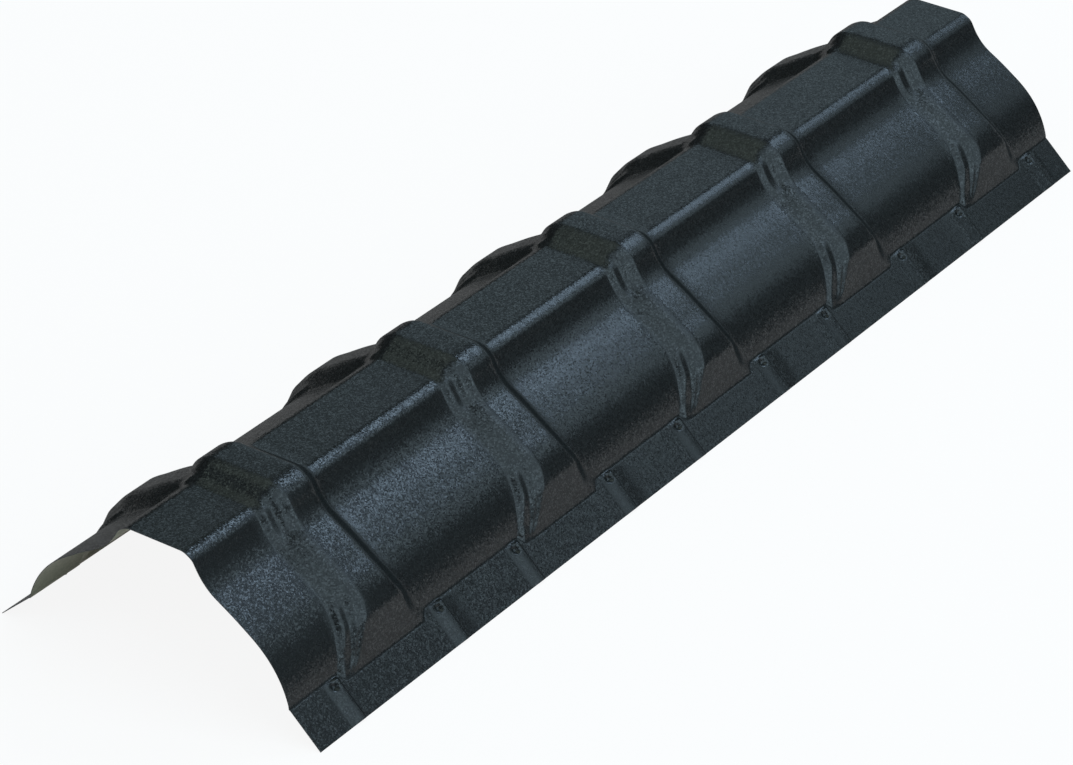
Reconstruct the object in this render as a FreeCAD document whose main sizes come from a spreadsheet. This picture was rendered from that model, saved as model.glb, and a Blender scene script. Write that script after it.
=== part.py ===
import FreeCAD, Part
import math
import os

# A roof ridge cap, pressed from one strip of coated steel sheet. It runs along Y and stands on the lower
# edges of its two flanges, with the flat ridge up. The origin is at the bottom, in the middle of the cap.
# Lengths are in millimetres, and angles are in degrees down from level.

doc = FreeCAD.newDocument("roof_ridge_cap")

driving_sizes = [
    # the strip of sheet
    ("cap_length", 990),
    ("sheet_thickness", 0.5),
    # the plain section, from the flat ridge down to the flange
    ("ridge_width", 40),
    ("corner_radius", 12.7),
    ("neck_angle", 60),
    ("neck_length", 4.3),
    ("waist_radius", 44.7),
    ("slope_angle", 32),
    ("slope_length", 31),
    ("bulge_radius", 71),
    ("foot_angle", 76),
    ("flange_width", 33),
    ("flange_angle", 42),
    # the raised bands that cross the cap, with the length of each stretch at four heights
    ("band_pitch", 200),
    ("first_bead", 41),
    ("band_lift", 9.5),
    ("band_waist_lift", 8.5),
    ("band_bulge_lift", 9.5),
    ("crease_shift", 7),
    ("fold_height", 1.2),
    ("ridge_ramp_start", 25.5),
    ("slope_ramp_start", 24.5),
    ("bulge_ramp_start", 19.5),
    ("ridge_ramp", 22),
    ("slope_ramp", 22),
    ("bulge_ramp", 22),
    ("foot_ramp", 14),
    ("ridge_plateau", 20),
    ("slope_plateau", 23),
    ("bulge_plateau", 38),
    ("ridge_drop", 20),
    ("slope_drop", 20),
    ("bulge_drop", 14),
    ("foot_drop", 11),
    # the beads across the flanges, one at each foot of a band
    ("bead_spacing", 112.5),
    ("bead_width", 13),
    ("bead_height", 2.2),
    ("bead_root", 4),
]

sizes = doc.addObject("Spreadsheet::Sheet", "Sizes")
for row, (alias, value) in enumerate(driving_sizes, start=1):
    sizes.set(f"A{row}", alias)
    sizes.set(f"B{row}", str(value))
    sizes.setAlias(f"B{row}", alias)
doc.recompute()


def size(alias):
    return float(sizes.get(alias))


def along(angle):
    """Unit step in X and Z along the sheet, for a stretch that falls by this angle."""
    return math.cos(math.radians(angle)), -math.sin(math.radians(angle))


def outward(angle):
    """Unit step in X and Z out of the sheet's painted side."""
    return math.sin(math.radians(angle)), math.cos(math.radians(angle))


def moved(point, step, distance):
    return point[0] + step[0] * distance, point[1] + step[1] * distance


def bent(point, angle, new_angle, radius):
    """Where a bend of this radius has taken the sheet, once it falls by the new angle."""
    side = 1 if new_angle > angle else -1
    centre = moved(point, outward(angle), -side * radius)
    return moved(centre, outward(new_angle), side * radius)


# The plain section's right half: each point's place and the sheet's angle there, walked from the ridge's edge
neck_angle = size("neck_angle")
slope_angle = size("slope_angle")
foot_angle = size("foot_angle")
flange_angle = size("flange_angle")

ridge_edge = (size("ridge_width") / 2, 0)
corner_mid = bent(ridge_edge, 0, neck_angle / 2, size("corner_radius"))
corner_end = bent(ridge_edge, 0, neck_angle, size("corner_radius"))
neck_end = moved(corner_end, along(neck_angle), size("neck_length"))
waist_mid_angle = (neck_angle + slope_angle) / 2
waist_mid = bent(neck_end, neck_angle, waist_mid_angle, size("waist_radius"))
waist_end = bent(neck_end, neck_angle, slope_angle, size("waist_radius"))
slope_end = moved(waist_end, along(slope_angle), size("slope_length"))
bulge_mid_angle = (slope_angle + foot_angle) / 2
bulge_mid = bent(slope_end, slope_angle, bulge_mid_angle, size("bulge_radius"))
foot = bent(slope_end, slope_angle, foot_angle, size("bulge_radius"))
flange_edge = moved(foot, along(flange_angle), size("flange_width"))

# The crease at the foot is a sharp bend, where the sheet's two sides stay parallel to both stretches
crease_angle = (foot_angle + flange_angle) / 2
crease_stretch = 1 / math.cos(math.radians(foot_angle - flange_angle) / 2)

# The lowest line of the cap is the under side of the flange's edge
under_edge = moved(flange_edge, outward(flange_angle), -size("sheet_thickness"))
ridge_height = -under_edge[1]


def section_points(station, depth):
    """Points of the right half at one station, at this depth under the painted side."""
    share = station["share"]
    lift = share * size("band_lift")
    neck_lift = lift + station["fold"]
    waist_lift = share * size("band_waist_lift")
    bulge_lift = share * size("band_bulge_lift") + station["fold"]
    shift = share * size("crease_shift")
    bead = station["bead"]
    ridge_y = station["ridge_y"]
    slope_y = station["slope_y"]
    waist_y = (ridge_y + slope_y) / 2
    bulge_y = station["bulge_y"]
    foot_y = station["foot_y"]
    crease = moved(foot, along(flange_angle), shift)
    bead_top = moved(crease, along(flange_angle), size("bead_root"))
    shape = {
        "ridge_edge": (ridge_edge, 0, lift, ridge_y),
        "corner_mid": (corner_mid, neck_angle / 2, lift, ridge_y),
        "corner_end": (corner_end, neck_angle, neck_lift, ridge_y),
        "neck_end": (neck_end, neck_angle, neck_lift, ridge_y),
        "waist_mid": (waist_mid, waist_mid_angle, waist_lift, waist_y),
        "waist_end": (waist_end, slope_angle, waist_lift, waist_y),
        "slope_end": (slope_end, slope_angle, waist_lift, slope_y),
        "bulge_mid": (bulge_mid, bulge_mid_angle, bulge_lift, bulge_y),
        "bead_top": (bead_top, flange_angle, bead, foot_y),
        "flange_edge": (flange_edge, flange_angle, bead, foot_y),
    }
    points = {}
    for name, (place, angle, offset, y) in shape.items():
        x, z = moved(place, outward(angle), offset - depth)
        points[name] = FreeCAD.Vector(x, y, z + ridge_height)
    x, z = moved(crease, outward(crease_angle), -depth * crease_stretch)
    points["foot"] = FreeCAD.Vector(x, foot_y, z + ridge_height)
    return points


def half_edges(points, side):
    """Edges of one half, from the ridge's edge to the flange's edge."""
    at = {name: FreeCAD.Vector(side * p.x, p.y, p.z) for name, p in points.items()}
    return [
        Part.Arc(at["ridge_edge"], at["corner_mid"], at["corner_end"]).toShape(),
        Part.LineSegment(at["corner_end"], at["neck_end"]).toShape(),
        Part.Arc(at["neck_end"], at["waist_mid"], at["waist_end"]).toShape(),
        Part.LineSegment(at["waist_end"], at["slope_end"]).toShape(),
        Part.Arc(at["slope_end"], at["bulge_mid"], at["foot"]).toShape(),
        Part.LineSegment(at["foot"], at["bead_top"]).toShape(),
        Part.LineSegment(at["bead_top"], at["flange_edge"]).toShape(),
    ]


def across(points, name):
    """Level edge from a point to its mirror image on the left."""
    right = points[name]
    return Part.LineSegment(FreeCAD.Vector(-right.x, right.y, right.z), right).toShape()


def section_wire(station):
    """Closed outline of the sheet at one station, painted side and under side."""
    top = section_points(station, 0)
    under = section_points(station, size("sheet_thickness"))
    edges = [across(top, "ridge_edge"), across(under, "ridge_edge")]
    for side in (1, -1):
        edges += half_edges(top, side)
        edges += half_edges(under, side)
        top_end = top["flange_edge"]
        under_end = under["flange_edge"]
        edges.append(
            Part.LineSegment(
                FreeCAD.Vector(side * top_end.x, top_end.y, top_end.z),
                FreeCAD.Vector(side * under_end.x, under_end.y, under_end.z),
            ).toShape()
        )
    return Part.Wire(Part.__sortEdges__(edges))


# Stations of one band, measured from the crest of its first bead. The ramp gathers the sheet in one fold,
# whose crest and valley lie at these shares of its length.
fold_crest = 0.25
fold_valley = 0.42
bead_reach = size("bead_width") / 2
far_bead = size("bead_spacing")


def bead_station(place, bead):
    """A plain station, straight across the cap, on a flange bead."""
    return {
        "ridge_y": place,
        "slope_y": place,
        "bulge_y": place,
        "foot_y": place,
        "share": 0,
        "fold": 0,
        "bead": bead,
    }


def ramp_station(share, fold):
    """A station on the ramp at a band's near side."""
    return {
        "ridge_y": size("ridge_ramp_start") + share * size("ridge_ramp"),
        "slope_y": size("slope_ramp_start") + share * size("slope_ramp"),
        "bulge_y": size("bulge_ramp_start") + share * size("bulge_ramp"),
        "foot_y": bead_reach + share * size("foot_ramp"),
        "share": share,
        "fold": fold,
        "bead": 0,
    }


def drop_station(share):
    """A station on the drop at a band's far side, with the share of the band's height that is left."""
    ridge_top = size("ridge_ramp_start") + size("ridge_ramp") + size("ridge_plateau")
    slope_top = size("slope_ramp_start") + size("slope_ramp") + size("slope_plateau")
    bulge_top = size("bulge_ramp_start") + size("bulge_ramp") + size("bulge_plateau")
    return {
        "ridge_y": ridge_top + (1 - share) * size("ridge_drop"),
        "slope_y": slope_top + (1 - share) * size("slope_drop"),
        "bulge_y": bulge_top + (1 - share) * size("bulge_drop"),
        "foot_y": far_bead - bead_reach - share * size("foot_drop"),
        "share": share,
        "fold": 0,
        "bead": 0,
    }


band_stations = [
    bead_station(-bead_reach, 0),
    bead_station(0, size("bead_height")),
    ramp_station(0, 0),
    ramp_station(fold_crest, size("fold_height")),
    ramp_station(fold_valley, -size("fold_height")),
    ramp_station(1, 0),
    drop_station(1),
    drop_station(0),
    bead_station(far_bead, size("bead_height")),
    bead_station(far_bead + bead_reach, 0),
]
end_station = bead_station(0, 0)

# As many whole bands as the length holds, each a pitch further along
room = size("cap_length") - size("first_bead") - far_bead - bead_reach
band_count = 1 + int(room // size("band_pitch"))

sections = []


def add_section(name, station, position):
    section = doc.addObject("Part::Feature", name)
    section.Shape = section_wire(station)
    section.setExpression("Placement.Base.y", position)
    sections.append(section)


add_section("near_end", end_station, "-Sizes.cap_length / 2")
for band in range(band_count):
    band_place = f"Sizes.first_bead + {band} * Sizes.band_pitch - Sizes.cap_length / 2"
    for number, station in enumerate(band_stations, start=1):
        add_section(f"band_{band + 1}_station_{number}", station, band_place)
add_section("far_end", end_station, "Sizes.cap_length / 2")

# The sheet itself, ruled from each station to the next
cap = doc.addObject("Part::Loft", "RidgeCap")
cap.Label = "ridge_cap"
cap.Sections = sections
cap.Solid = True
cap.Ruled = True
doc.recompute()

failed = [item.Label for item in doc.Objects if "Invalid" in item.State or "Error" in item.State]
if failed:
    raise RuntimeError("failed objects: " + ", ".join(failed))
if cap.Shape.isNull() or not cap.Shape.isValid() or len(cap.Shape.Solids) != 1:
    raise RuntimeError("the ridge cap isn't one valid solid")

os.makedirs("parts", exist_ok=True)
cap.Shape.exportStep("parts/ridge_cap.step")
box = cap.Shape.BoundBox
print("ridge_cap", round(cap.Shape.Volume, 1), "mm3, faces", len(cap.Shape.Faces))
print("box", [round(v, 3) for v in (box.XMin, box.YMin, box.ZMin, box.XMax, box.YMax, box.ZMax)])
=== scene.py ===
import math

import bpy
from mathutils import Matrix, Vector


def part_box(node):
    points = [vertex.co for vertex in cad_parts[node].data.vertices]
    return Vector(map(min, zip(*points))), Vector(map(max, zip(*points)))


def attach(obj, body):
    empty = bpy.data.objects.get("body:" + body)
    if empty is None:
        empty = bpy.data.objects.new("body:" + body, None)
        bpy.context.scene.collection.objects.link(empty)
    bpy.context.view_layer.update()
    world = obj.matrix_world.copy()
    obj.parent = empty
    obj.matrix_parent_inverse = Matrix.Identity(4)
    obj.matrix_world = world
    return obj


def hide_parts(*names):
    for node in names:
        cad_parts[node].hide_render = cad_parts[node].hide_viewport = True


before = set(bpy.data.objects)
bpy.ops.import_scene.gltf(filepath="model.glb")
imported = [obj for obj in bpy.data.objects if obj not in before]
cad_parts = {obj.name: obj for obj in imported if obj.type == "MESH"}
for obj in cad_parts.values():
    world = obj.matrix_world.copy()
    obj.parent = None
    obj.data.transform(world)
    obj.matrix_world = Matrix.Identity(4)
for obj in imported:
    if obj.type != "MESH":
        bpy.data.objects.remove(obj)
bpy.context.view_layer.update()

# The ridge cap: one strip of galvanised steel sheet, coated and pressed cold to a flat ridge, curved sides
# and sloping flanges. Raised bands cross it at an even pitch, like the laps of a row of shorter tiles,
# and each band has a stiffening bead in the flange at either foot. Nothing is fixed to it.
mm = 0.001
low_corner, high_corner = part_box("ridge_cap")
cap_length = (high_corner.y - low_corner.y) / mm

sheet_gauge = 0.5
ridge_half_width = 20
corner_radius, corner_crown_radius = 9.5, 23.4
crown_start_angle, crown_end_angle = 22, 35
neck_angle = 60
neck_length = 4.3
waist_radius = 44.7
slope_angle = 32
slope_length = 31
slope_crown = 0.5
bulge_radius = 71
foot_angle = 76
flange_width = 33
flange_angle = 42

band_pitch = 200
first_bead = 41
band_count = 5
band_lift = 9.5
band_waist_lift = 8.5
band_shoulder_angle, band_shoulder_radius, band_shoulder_length = 55, 46, 6
band_wall_angle, band_wall_radius = 80, 12
crease_shift = 7
crease_groove = 0.3

bead_spacing = 112.5
bead_height = 2.2


def along(angle):
    """Unit step in X and Z along the sheet, for a stretch that falls by this angle."""
    return Vector((math.cos(math.radians(angle)), -math.sin(math.radians(angle))))


def outward(angle):
    """Unit step in X and Z out of the coated side."""
    return Vector((math.sin(math.radians(angle)), math.cos(math.radians(angle))))


def straight(start, angle, length, steps):
    """Points after the start of a flat stretch, each with the sheet's angle there."""
    return [(start + along(angle) * length * (i + 1) / steps, angle) for i in range(steps)]


def bend(start, angle, new_angle, radius, steps):
    """Points after the start of a round stretch, each with the sheet's angle there."""
    side = 1 if new_angle > angle else -1
    centre = start - outward(angle) * side * radius
    points = []
    for i in range(steps):
        turned = angle + (new_angle - angle) * (i + 1) / steps
        points.append((centre + outward(turned) * side * radius, turned))
    return points


def smooth_step(share):
    """Eases from 0 to 1 as a pressed sheet does, with no kink at either end."""
    share = min(max(share, 0), 1)
    return share * share * (3 - 2 * share)


# The plain section's right half, walked from the middle of the ridge to the flange's edge
ridge_steps, corner_steps, neck_steps, waist_steps, slope_steps = 2, 3, 3, 7, 6
bulge_steps, root_steps, flange_steps = 25, 10, 2

plain = [(Vector((0, 0)), 0)]
plain += straight(plain[-1][0], 0, ridge_half_width, ridge_steps)
plain += bend(plain[-1][0], 0, crown_start_angle, corner_radius, corner_steps)
plain += bend(plain[-1][0], crown_start_angle, crown_end_angle, corner_crown_radius, corner_steps)
plain += bend(plain[-1][0], crown_end_angle, neck_angle, corner_radius, corner_steps)
plain += straight(plain[-1][0], neck_angle, neck_length, neck_steps)
plain += bend(plain[-1][0], neck_angle, slope_angle, waist_radius, waist_steps)
plain += straight(plain[-1][0], slope_angle, slope_length, slope_steps)
slope_end = plain[-1][0]
plain += bend(slope_end, slope_angle, foot_angle, bulge_radius, bulge_steps)
foot = plain[-1][0]
root_length = 11
plain += straight(foot, flange_angle, root_length, root_steps)
plain += straight(plain[-1][0], flange_angle, flange_width - root_length, flange_steps)

# The same half on top of a band: lifted clear of the plain one, with a shoulder and a flat wall to the flange
band_slope_end = slope_end + outward(slope_angle) * band_waist_lift
band_foot = foot + along(flange_angle) * crease_shift
fine_steps = 20
shoulder = bend(Vector((0, 0)), slope_angle, band_shoulder_angle, band_shoulder_radius, fine_steps)
shoulder += straight(shoulder[-1][0], band_shoulder_angle, band_shoulder_length, fine_steps)
shoulder += bend(shoulder[-1][0], band_shoulder_angle, band_wall_angle, band_wall_radius, fine_steps)
rest = band_foot - band_slope_end - shoulder[-1][0]
lean = along(slope_angle).cross(along(band_wall_angle))
lead_length = rest.cross(along(band_wall_angle)) / lean
wall_length = along(slope_angle).cross(rest) / lean
lead = straight(band_slope_end, slope_angle, lead_length, fine_steps)
band_path = [band_slope_end] + [place for place, angle in lead]
band_path += [lead[-1][0] + place for place, angle in shoulder]
band_path += [place for place, angle in straight(band_path[-1], band_wall_angle, wall_length, fine_steps)]
path_lengths = [0]
for before, after in zip(band_path, band_path[1:]):
    path_lengths.append(path_lengths[-1] + (after - before).length)


def band_bulge_point(share):
    """A point of the band between the slope and the flange, by its share of the way down."""
    travel = share * path_lengths[-1]
    i = max(k for k in range(len(band_path) - 1) if path_lengths[k] <= travel)
    part = (travel - path_lengths[i]) / (path_lengths[i + 1] - path_lengths[i])
    return band_path[i].lerp(band_path[i + 1], part)


def smooth_curve(position, places, values):
    """A curve through the values at their places, level wherever it has a peak, a hollow or a flat."""
    if position <= places[0]:
        return values[0]
    if position >= places[-1]:
        return values[-1]
    slopes = [(values[i + 1] - values[i]) / (places[i + 1] - places[i]) for i in range(len(places) - 1)]
    tangents = [0]
    for before, after in zip(slopes, slopes[1:]):
        tangents.append(2 * before * after / (before + after) if before * after > 0 else 0)
    tangents.append(0)
    i = max(k for k in range(len(slopes)) if places[k] <= position)
    length = places[i + 1] - places[i]
    share = (position - places[i]) / length
    eased = smooth_step(share)
    start_turn = share * (1 - share) ** 2 * length * tangents[i]
    end_turn = share**2 * (1 - share) * length * tangents[i + 1]
    return values[i] + (values[i + 1] - values[i]) * eased + start_turn - end_turn


# Every place of the section with its raised twin on a band. The slope has a slight crown, and a small groove
# runs along the crease.
crown_stops, crown_heights = (54, 75, 98), (0, slope_crown, 0)
lift_stops = (ridge_half_width, 60)
section = []
developed = 0
slope_count = 1 + ridge_steps + 3 * corner_steps + neck_steps + waist_steps + slope_steps
bulge_count = slope_count + bulge_steps
for number, (place, angle) in enumerate(plain):
    if number:
        developed += (place - plain[number - 1][0]).length
    place = place + outward(angle) * smooth_curve(developed, crown_stops, crown_heights)
    if number < slope_count:
        lift = smooth_curve(developed, lift_stops, (band_lift, band_waist_lift))
        raised = place + outward(angle) * lift
    elif number < bulge_count:
        raised = band_bulge_point((number - slope_count + 1) / bulge_steps)
    else:
        beyond = (place - foot).length / flange_width
        raised = band_foot + along(flange_angle) * beyond * (flange_width - crease_shift)
    section.append({"place": place, "angle": angle, "raised": raised, "developed": developed})
crease_at = section[bulge_count - 1]["developed"]
for level in ("place", "raised"):
    section[bulge_count - 1][level] -= outward((foot_angle + flange_angle) / 2) * crease_groove

# Lines across one band, measured from its first bead: where each crosses the section at these developed
# distances from the middle of the ridge. They run straight over the ridge and sweep along the sides.
line_stops = (48, 64, 98, 110, 120, 130, 138, crease_at)
ramp_foot_line = (23.5, 21.5, 22, 20.5, 17.5, 13.5, 10.5, 8.1)
fold_crest_line = (29.5, 30, 30, 26.5, 24, 19.5, 15.8, 11.5)
fold_valley_line = (35, 35, 34.5, 31.5, 28.8, 24.8, 21.5, 14.5)
ramp_top_line = (47.5, 47, 47, 45.5, 40.5, 34, 27.5, 20.5)
drop_top_line = (68.5, 68.5, 68.5, 70.5, 75, 78.5, 82.5, 95)
drop_foot_line = (86.5, 86.5, 87, 89, 92, 96, 99, 103)

# The share of the band's height at the fold's crest and valley, which the sheet gathers into at the neck and
# again down the sides; on the ridge and the slope the ramp climbs evenly through both.
share_stops = (22, 32, 46, 60, 98, 112, 126, 138, crease_at)
fold_crest_share = (0.16, 0.29, 0.29, 0.31, 0.31, 0.37, 0.4, 0.44, 0.9)
fold_valley_share = (0.47, 0.35, 0.35, 0.6, 0.55, 0.4, 0.44, 0.5, 0.95)

# A smaller second fold between that one and the ramp's top, which shows in the same two places
second_fold_stops = (24, 34, 48, 60, 104, 114)
second_fold_strength = (0, 0.8, 0.8, 0, 0, 0.8)
second_fold_places = (0.36, 0.52)
even_climb = (0.53, 0.72)
folded_climb = (0.4, 0.5)

bead_start = -8.5
bead_crest = 4
bead_end = 7.2
bead_end_length = 3
bead_ease = 2.5
bead_low_share, bead_high_share = 0.18, 0.88
dimple_across, dimple_down = -0.5, 5.5
dimple_radius = 4.2
dimple_depth = 2.6


def bead_share(across_bead):
    """Height across a bead: a long even rise on its near side, a short fall on its far side."""
    stops = (bead_start, bead_start + bead_ease, bead_crest - bead_ease, bead_crest, bead_end)
    return smooth_curve(across_bead, stops, (0, bead_low_share, bead_high_share, 1, 0))


def bead_offset(across_bead, down_flange):
    """A bead's height at this distance down the flange: a blunt end at the crease, with a dimple in it."""
    end_share = smooth_step(down_flange / bead_end_length)
    from_dimple = math.hypot(across_bead - dimple_across, down_flange - dimple_down)
    dimple = dimple_depth * (1 - smooth_step(from_dimple / dimple_radius))
    return bead_share(across_bead) * bead_height * end_share - dimple


# Rows of the mesh through one band: steps between each line and the next
line_steps = (2, 6, 4, 4, 3, 5, 5, 9, 2)
bead_steps = 14
under_edge = section[-1]["place"] - outward(flange_angle) * sheet_gauge
ridge_height = -under_edge.y


def even_places(start, end, steps):
    """Evenly spaced places from the start up to the end, which is left out."""
    return [start + (end - start) * i / steps for i in range(steps)]


def band_profile(sample):
    """Rows of one band at one place of the section: how far along each lies, its lift and its bead."""
    developed = sample["developed"]
    ramp_foot, fold_crest, fold_valley, ramp_top, drop_top, drop_foot = (
        smooth_curve(developed, line_stops, line)
        for line in (
            ramp_foot_line,
            fold_crest_line,
            fold_valley_line,
            ramp_top_line,
            drop_top_line,
            drop_foot_line,
        )
    )
    crest_share = smooth_curve(developed, share_stops, fold_crest_share)
    valley_share = smooth_curve(developed, share_stops, fold_valley_share)
    strength = smooth_curve(developed, second_fold_stops, second_fold_strength)
    places = [bead_end, ramp_foot, fold_crest, fold_valley]
    shares = [0, 0, crest_share, valley_share]
    for between, even, folded in zip(second_fold_places, even_climb, folded_climb):
        climb = even + (folded - even) * strength
        places.append(fold_valley + (ramp_top - fold_valley) * between)
        shares.append(valley_share + (1 - valley_share) * climb)
    places += [ramp_top, drop_top, drop_foot, bead_spacing + bead_start]
    shares += [1, 1, 0, 0]
    spots = even_places(bead_start, bead_end, bead_steps)
    for start, end, steps in zip(places, places[1:], line_steps):
        spots += even_places(start, end, steps)
    spots += even_places(bead_spacing + bead_start, bead_spacing + bead_end, bead_steps)
    spots.append(bead_spacing + bead_end)
    profile = []
    for spot in spots:
        bead = 0
        if developed > crease_at:
            down = developed - crease_at
            bead = bead_offset(spot, down) + bead_offset(spot - bead_spacing, down)
        profile.append((spot, smooth_curve(spot, places, shares), bead))
    return profile


for sample in section:
    sample["profile"] = band_profile(sample)
row_count = len(section[0]["profile"])


def sheet_point(sample, side, start, row):
    """A point of the coated side, on a row of the band at start, or on plain sheet where row is None."""
    spot, share, bead = (0, 0, 0) if row is None else sample["profile"][row]
    flat = sample["place"].lerp(sample["raised"], share) + outward(sample["angle"]) * bead
    return Vector((side * flat.x, start + spot - cap_length / 2, flat.y + ridge_height)) * mm


# The sheet's mesh: rows across the cap from the near end to the far end, through every band
half = [(sample, 1) for sample in section]
across = [(sample, -1) for sample in reversed(section[1:])] + half
plain_steps = 4


def plain_stretch(start, end):
    """Even rows of plain sheet from one place along the cap up to another."""
    return [(place, None) for place in even_places(start, end, plain_steps)]


cap_rows = plain_stretch(0, first_bead + bead_start)
for band in range(band_count):
    start = first_bead + band * band_pitch
    cap_rows += [(start, row) for row in range(row_count)]
    band_end = start + bead_spacing + bead_end
    next_start = start + band_pitch + bead_start if band < band_count - 1 else cap_length
    cap_rows += plain_stretch(band_end, next_start)[1:]
cap_rows.append((cap_length, None))

points = []
for start, row in cap_rows:
    points += [sheet_point(sample, side, start, row) for sample, side in across]
width = len(across)
faces = []
for r in range(len(cap_rows) - 1):
    for k in range(width - 1):
        corner = r * width + k
        faces.append((corner, corner + 1, corner + width + 1, corner + width))

sheet_mesh = bpy.data.meshes.new("ridge_cap_sheet")
sheet_mesh.from_pydata(points, [], faces)
sheet_mesh.shade_smooth()
for edge in sheet_mesh.edges:
    (row, column), (other_row, other_column) = (divmod(corner, width) for corner in edge.vertices)
    at_end = row == other_row and row in (0, len(cap_rows) - 1)
    at_side = column == other_column and column in (0, width - 1)
    edge.use_edge_sharp = at_end or at_side
ridge_cap_sheet = bpy.data.objects.new("ridge_cap_sheet", sheet_mesh)
bpy.context.collection.objects.link(ridge_cap_sheet)

thickness = ridge_cap_sheet.modifiers.new("sheet_gauge", "SOLIDIFY")
thickness.thickness = sheet_gauge * mm
thickness.offset = -1
thickness.use_even_offset = True
thickness.material_offset = 1
thickness.material_offset_rim = 2


def new_finish(name):
    """A material with an empty tree but for its shader, and that shader."""
    finish = bpy.data.materials.new(name)
    finish.use_nodes = True
    return finish, finish.node_tree.nodes["Principled BSDF"]


def add_node(finish, kind, **settings):
    """A node of this kind in the material, with these settings."""
    node = finish.node_tree.nodes.new(kind)
    for name, value in settings.items():
        setattr(node, name, value)
    return node


def srgb(red, green, blue):
    """A colour written as it looks on screen, 0 to 255, in the linear values that a shader takes."""
    levels = []
    for level in (red / 255, green / 255, blue / 255):
        levels.append(level / 12.92 if level <= 0.04045 else ((level + 0.055) / 1.055) ** 2.4)
    return (*levels, 1)


def grained_coat(name, dark, light, rough, grain_size, grain_tilt):
    """A matt coat with a fine wrinkled grain of tiny facets, which differ in tilt and colour; the grain is
    handed back so that gloss can follow it too.
    """
    finish, shader = new_finish(name)
    links = finish.node_tree.links
    place = add_node(finish, "ShaderNodeTexCoord")
    grain = add_node(finish, "ShaderNodeTexVoronoi")
    grain.inputs["Scale"].default_value = 1 / (grain_size * mm)
    links.new(place.outputs["Object"], grain.inputs["Vector"])

    # Each grain has a tone of its own
    tones = add_node(finish, "ShaderNodeValToRGB")
    tones.color_ramp.elements[0].color = srgb(*dark)
    tones.color_ramp.elements[1].color = srgb(*light)
    links.new(grain.outputs["Color"], tones.inputs["Fac"])
    links.new(tones.outputs["Color"], shader.inputs["Base Color"])

    # Each grain is tipped by its random colour, centred on zero
    centred = add_node(finish, "ShaderNodeVectorMath", operation="SUBTRACT")
    centred.inputs[1].default_value = (0.5, 0.5, 0.5)
    tilt = add_node(finish, "ShaderNodeVectorMath", operation="SCALE")
    tilt.inputs["Scale"].default_value = grain_tilt
    surface = add_node(finish, "ShaderNodeNewGeometry")
    facet = add_node(finish, "ShaderNodeVectorMath", operation="ADD")
    level = add_node(finish, "ShaderNodeVectorMath", operation="NORMALIZE")
    links.new(grain.outputs["Color"], centred.inputs[0])
    links.new(centred.outputs["Vector"], tilt.inputs[0])
    links.new(tilt.outputs["Vector"], facet.inputs[0])
    links.new(surface.outputs["Normal"], facet.inputs[1])
    links.new(facet.outputs["Vector"], level.inputs[0])
    links.new(level.outputs["Vector"], shader.inputs["Normal"])
    links.new(level.outputs["Vector"], shader.inputs["Coat Normal"])
    shader.inputs["Roughness"].default_value = rough
    return finish, shader, grain


# Outside, a dark matt coat under a thin glossy one that sparkles where single grains catch the light
anthracite_coat, anthracite, sparkle = grained_coat(
    "anthracite_coat", dark=(14, 15, 15), light=(34, 36, 36), rough=0.6, grain_size=0.95, grain_tilt=0.14
)
anthracite.inputs["Specular IOR Level"].default_value = 0
anthracite.inputs["Coat IOR"].default_value = 2.4
anthracite.inputs["Coat Roughness"].default_value = 0.25
gloss = add_node(anthracite_coat, "ShaderNodeMapRange")
gloss.inputs["From Min"].default_value = 0.55
gloss.inputs["To Min"].default_value = 0.135
gloss.inputs["To Max"].default_value = 0.28
anthracite_coat.node_tree.links.new(sparkle.outputs["Color"], gloss.inputs["Value"])
anthracite_coat.node_tree.links.new(gloss.outputs["Result"], anthracite.inputs["Coat Weight"])

# Underneath, a plain backing coat, and bare steel where the strip is cut
backing_coat, backing, _ = grained_coat(
    "backing_coat", dark=(114, 112, 94), light=(134, 131, 110), rough=0.6, grain_size=1.2, grain_tilt=0.1
)
backing.inputs["Specular IOR Level"].default_value = 0.2

cut_edge, cut_shader = new_finish("cut_edge")
cut_shader.inputs["Base Color"].default_value = srgb(42, 45, 46)
cut_shader.inputs["Metallic"].default_value = 0.3
cut_shader.inputs["Roughness"].default_value = 0.5
for finish in (anthracite_coat, backing_coat, cut_edge):
    sheet_mesh.materials.append(finish)

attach(ridge_cap_sheet, "root")
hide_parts("ridge_cap")

# The floor: a plain white matt sheet that the cap stands on by the edges of its flanges. It looks white to
# the camera and in reflections, and still takes the cap's shadow.
floor_half_size = 15
floor_grey = 0.9
floor_glow_share = 0.9

floor_mesh = bpy.data.meshes.new("floor")
h = floor_half_size
floor_mesh.from_pydata([(-h, -h, 0), (h, -h, 0), (h, h, 0), (-h, h, 0)], [], [(0, 1, 2, 3)])
floor = bpy.data.objects.new("floor", floor_mesh)
bpy.context.collection.objects.link(floor)

white_floor, floor_shader = new_finish("white_floor")
floor_shader.inputs["Base Color"].default_value = (floor_grey, floor_grey, floor_grey, 1)
floor_shader.inputs["Roughness"].default_value = 1
floor_shader.inputs["Specular IOR Level"].default_value = 0

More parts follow.
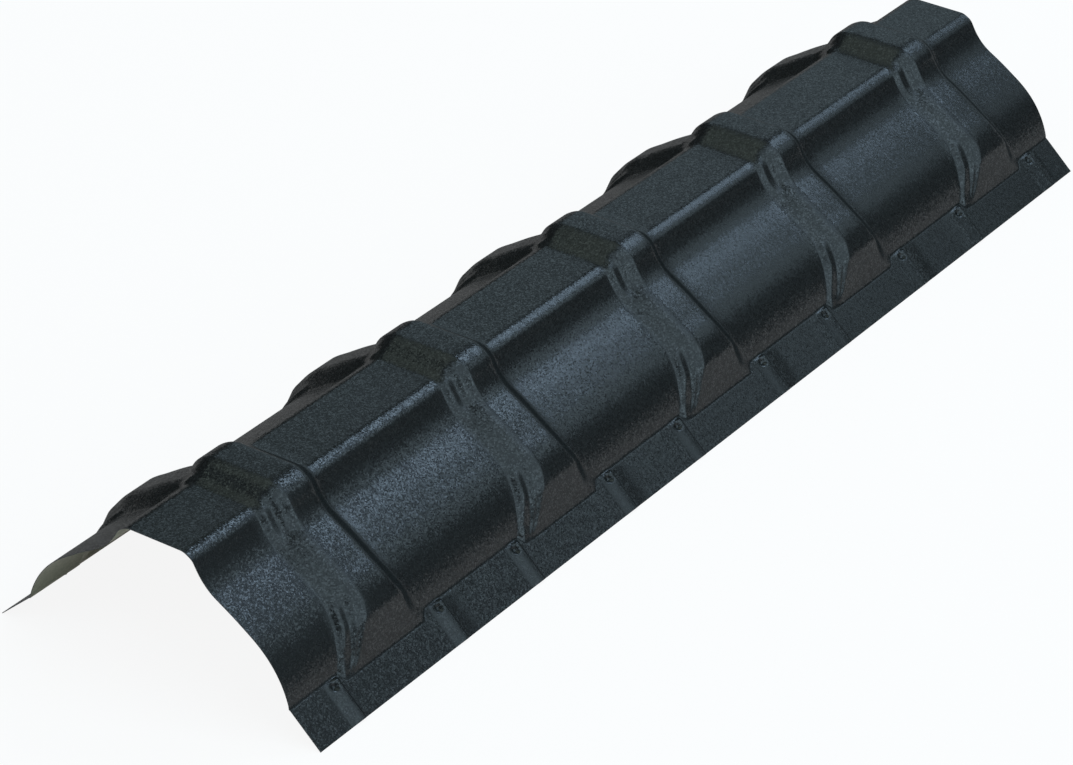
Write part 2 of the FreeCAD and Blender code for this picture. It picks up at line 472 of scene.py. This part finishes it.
# The glow shows to the camera and in reflections alone
floor_links = white_floor.node_tree.links
ray = add_node(white_floor, "ShaderNodeLightPath")
camera_or_glossy = add_node(white_floor, "ShaderNodeMath", operation="MAXIMUM")
any_seen = add_node(white_floor, "ShaderNodeMath", operation="MAXIMUM")
glow_share = add_node(white_floor, "ShaderNodeMath", operation="MULTIPLY")
glow_share.inputs[1].default_value = floor_glow_share
glow = add_node(white_floor, "ShaderNodeEmission")
glow.inputs["Color"].default_value = (1, 1, 1, 1)
glow.inputs["Strength"].default_value = 1
floor_blend = add_node(white_floor, "ShaderNodeMixShader")
floor_links.new(ray.outputs["Is Camera Ray"], camera_or_glossy.inputs[0])
floor_links.new(ray.outputs["Is Glossy Ray"], camera_or_glossy.inputs[1])
floor_links.new(camera_or_glossy.outputs["Value"], any_seen.inputs[0])
floor_links.new(ray.outputs["Is Transmission Ray"], any_seen.inputs[1])
floor_links.new(any_seen.outputs["Value"], glow_share.inputs[0])
floor_links.new(glow_share.outputs["Value"], floor_blend.inputs["Fac"])
floor_links.new(floor_shader.outputs["BSDF"], floor_blend.inputs[1])
floor_links.new(glow.outputs["Emission"], floor_blend.inputs[2])
floor_output = white_floor.node_tree.nodes["Material Output"]
floor_links.new(floor_blend.outputs["Shader"], floor_output.inputs["Surface"])
floor_mesh.materials.append(white_floor)

# The light: a dim even room with soft lamps of a cool white. One is overhead, five are towards the far end
# and two on the right, of which the broad one is the brightest. One in front lights the sides that face away.
room_level = 0.1
bpy.context.scene.world = bpy.data.worlds.new("room")
bpy.context.scene.world.use_nodes = True
room = bpy.context.scene.world.node_tree.nodes["Background"]
room.inputs["Color"].default_value = (1, 1, 1, 1)
room.inputs["Strength"].default_value = room_level


def soft_lamp(name, direction, distance, width, height, power, colour):
    """A rectangular soft lamp that faces the middle of the cap."""
    lamp = bpy.data.lights.new(name, "AREA")
    lamp.shape = "RECTANGLE"
    lamp.size = width
    lamp.size_y = height
    lamp.energy = power
    lamp.color = colour
    holder = bpy.data.objects.new(name, lamp)
    holder.location = Vector(direction).normalized() * distance
    holder.rotation_euler = Vector(direction).to_track_quat("Z", "Y").to_euler()
    holder.visible_camera = False
    bpy.context.collection.objects.link(holder)


daylight = (0.57, 0.78, 1)
cool = (0.65, 0.87, 1)
greenish = (0.8, 1, 0.88)
# Each lamp's direction, then its distance, width and height in metres, its power in watts and its colour
soft_lamp("top_lamp", (-0.3, 0.1, 1), 4, 3, 3, 26, greenish)
soft_lamp("back_lamp", (0.1, 0.72, 0.68), 5, 1.6, 1.3, 51, daylight)
soft_lamp("high_lamp", (0.33, 0.38, 0.86), 5, 2, 1.8, 19, daylight)
soft_lamp("far_left_lamp", (-0.5, 0.72, 0.55), 5, 2.5, 2, 13, cool)
soft_lamp("low_back_lamp", (-0.25, 0.92, 0.27), 5, 5, 2.4, 38, cool)
soft_lamp("far_right_lamp", (0.42, 0.72, 0.56), 5, 1.4, 1.4, 13, cool)
soft_lamp("right_lamp", (0.7, -0.02, 0.71), 5, 5.2, 5.4, 178, cool)
soft_lamp("low_right_lamp", (0.95, 0.12, 0.26), 5, 2.6, 1.6, 23, cool)
soft_lamp("front_lamp", (-0.25, -0.68, 0.66), 5, 3.6, 3, 48, cool)

# The camera: at the photograph's place, a long lens looking down on the near right corner
camera_data = bpy.data.cameras.new("camera")
camera_data.sensor_width = 36
camera_data.lens = 138.2
camera = bpy.data.objects.new("camera", camera_data)
camera_right = Vector((0.8245, 0.5651, 0.0300))
camera_up = Vector((-0.3073, 0.4026, 0.8623))
camera_back = camera_right.cross(camera_up)
camera_turn = Matrix((camera_right, camera_up, camera_back)).transposed().to_4x4()
camera_place = Vector((1389.0, -2173.7, 1499.9)) * mm
camera.matrix_world = Matrix.Translation(camera_place) @ camera_turn
bpy.context.collection.objects.link(camera)
bpy.context.scene.camera = camera
bpy.context.scene.view_settings.view_transform = "Standard"
